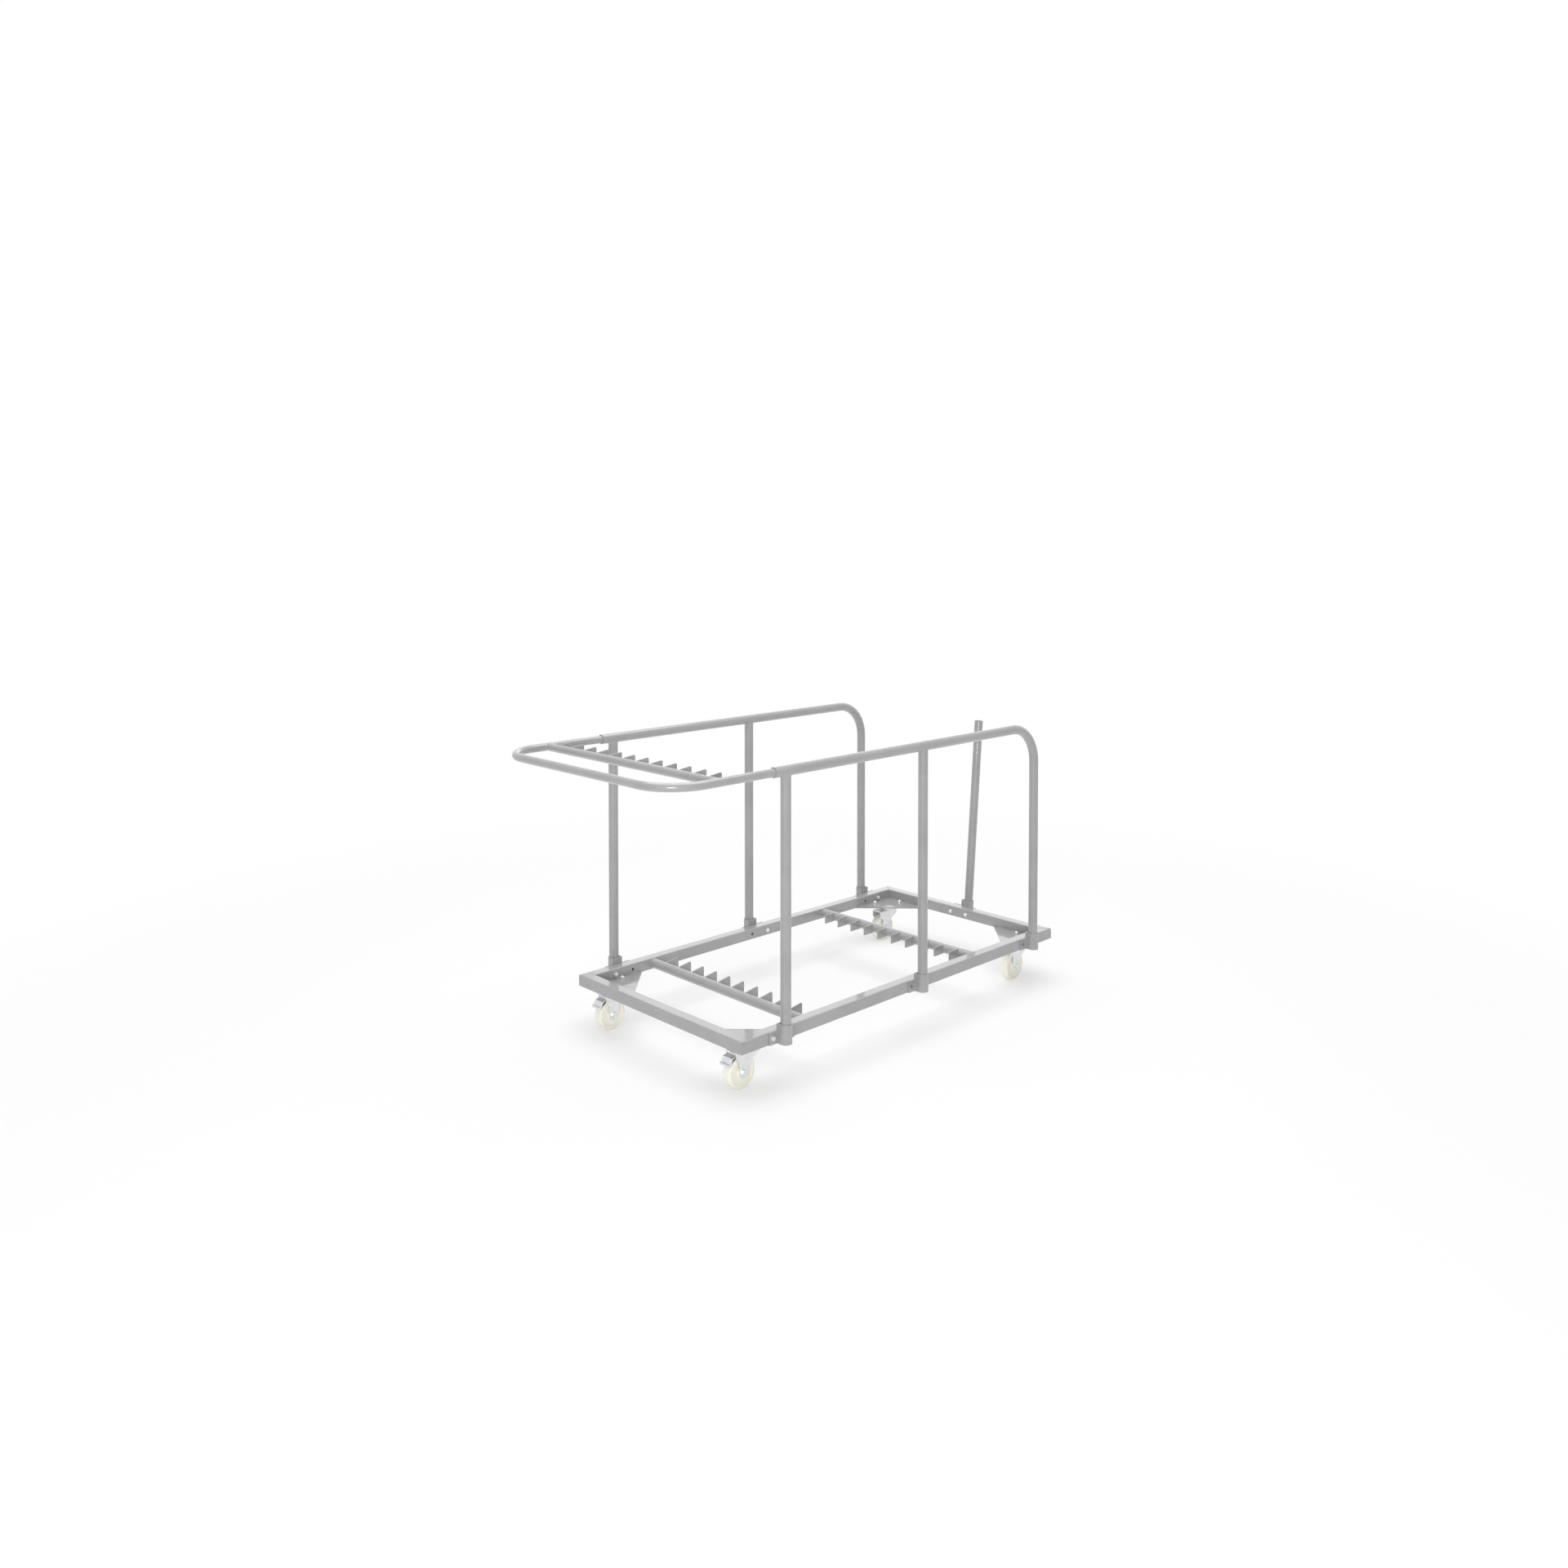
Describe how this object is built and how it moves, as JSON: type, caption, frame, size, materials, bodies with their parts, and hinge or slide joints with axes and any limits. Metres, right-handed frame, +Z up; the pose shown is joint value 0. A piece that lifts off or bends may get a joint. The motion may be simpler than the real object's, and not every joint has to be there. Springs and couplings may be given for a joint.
{
  "type": "banquet table trolley",
  "caption": "Steel trolley on swivel casters that carries round banquet tables on edge, with comb bars, side guard rails, a plug-in U handle and a lift-out end post.",
  "frame": {"origin": "on the floor under the middle of the overall box", "axes": "+X along the trolley, away from the handle; +Y to the left of a person pushing it; +Z up"},
  "size_m": [1.9122, 0.8672, 0.944],
  "materials": {
    "paint": "satin light grey powder coat",
    "zinc": "bright zinc plate",
    "nylon": "cream nylon",
    "black": "black moulded plastic"
  },
  "bodies": {
    "base": {"rail_front": "paint", "rail_rear": "paint", "rail_right": "paint", "rail_left": "paint", "gusset_front_right": "paint", "gusset_front_left": "paint", "gusset_rear_right": "paint", "gusset_rear_left": "paint", "bar_front": "paint", "bar_rear": "paint", "fins_front": "paint", "fins_rear": "paint", "guard_right": "paint", "guard_left": "paint", "post_front_right": "paint", "post_mid_right": "paint", "post_front_left": "paint", "post_mid_left": "paint", "socket_front_right": "paint", "socket_mid_right": "paint", "socket_rear_right": "paint", "socket_front_left": "paint", "socket_mid_left": "paint", "socket_rear_left": "paint", "socket_end": "paint", "socket_bolts": "zinc", "socket_nuts": "zinc", "caster_bolts": "zinc", "caster_nuts": "zinc", "plate_front_right": "zinc", "plate_front_left": "zinc", "plate_rear_right": "zinc", "plate_rear_left": "zinc", "kingpin_front_right": "zinc", "kingpin_front_left": "zinc", "kingpin_rear_right": "zinc", "kingpin_rear_left": "zinc"},
    "handle_frame": {"handle": "paint", "crossbar": "paint", "fins_top": "paint"},
    "end_post": {"end_post": "paint"},
    "swivel_front_right": {"fork_front_right": "zinc", "axle_front_right": "zinc", "brake_pin_right": "zinc"},
    "wheel_front_right": {"wheel_front_right": "nylon"},
    "swivel_front_left": {"fork_front_left": "zinc", "axle_front_left": "zinc", "brake_pin_left": "zinc"},
    "wheel_front_left": {"wheel_front_left": "nylon"},
    "swivel_rear_right": {"fork_rear_right": "zinc", "axle_rear_right": "zinc"},
    "wheel_rear_right": {"wheel_rear_right": "nylon"},
    "swivel_rear_left": {"fork_rear_left": "zinc", "axle_rear_left": "zinc"},
    "wheel_rear_left": {"wheel_rear_left": "nylon"},
    "brake_right": {"pedal_right": "zinc", "pad_right": "black"},
    "brake_left": {"pedal_left": "zinc", "pad_left": "black"}
  },
  "joints": [
    {"name": "handle_pull", "type": "slide", "parent": "base", "child": "handle_frame", "axis": [-1, 0, 0], "range_m": [0, 0.08]},
    {"name": "end_post_lift", "type": "slide", "parent": "base", "child": "end_post", "axis": [0.0854, 0, 0.9963], "range_m": [0, 0.06]},
    {"name": "swivel_turn_front_right", "type": "hinge", "parent": "base", "child": "swivel_front_right", "pos_m": [-0.56734, -0.313, 0.134], "axis": [0, 0, 1], "continuous": true},
    {"name": "wheel_spin_front_right", "type": "hinge", "parent": "swivel_front_right", "child": "wheel_front_right", "pos_m": [-0.60034, -0.313, 0.05], "axis": [0, 1, 0], "continuous": true},
    {"name": "swivel_turn_front_left", "type": "hinge", "parent": "base", "child": "swivel_front_left", "pos_m": [-0.56734, 0.313, 0.134], "axis": [0, 0, 1], "continuous": true},
    {"name": "wheel_spin_front_left", "type": "hinge", "parent": "swivel_front_left", "child": "wheel_front_left", "pos_m": [-0.60034, 0.313, 0.05], "axis": [0, 1, 0], "continuous": true},
    {"name": "swivel_turn_rear_right", "type": "hinge", "parent": "base", "child": "swivel_rear_right", "pos_m": [0.76066, -0.313, 0.134], "axis": [0, 0, 1], "continuous": true},
    {"name": "wheel_spin_rear_right", "type": "hinge", "parent": "swivel_rear_right", "child": "wheel_rear_right", "pos_m": [0.72766, -0.313, 0.05], "axis": [0, 1, 0], "continuous": true},
    {"name": "swivel_turn_rear_left", "type": "hinge", "parent": "base", "child": "swivel_rear_left", "pos_m": [0.76066, 0.313, 0.134], "axis": [0, 0, 1], "continuous": true},
    {"name": "wheel_spin_rear_left", "type": "hinge", "parent": "swivel_rear_left", "child": "wheel_rear_left", "pos_m": [0.72766, 0.313, 0.05], "axis": [0, 1, 0], "continuous": true},
    {"name": "brake_press_right", "type": "hinge", "parent": "swivel_front_right", "child": "brake_right", "pos_m": [-0.62034, -0.313, 0.106], "axis": [0, -1, 0], "range_deg": [0, 9]},
    {"name": "brake_press_left", "type": "hinge", "parent": "swivel_front_left", "child": "brake_left", "pos_m": [-0.62034, 0.313, 0.106], "axis": [0, -1, 0], "range_deg": [0, 9]}
  ]
}
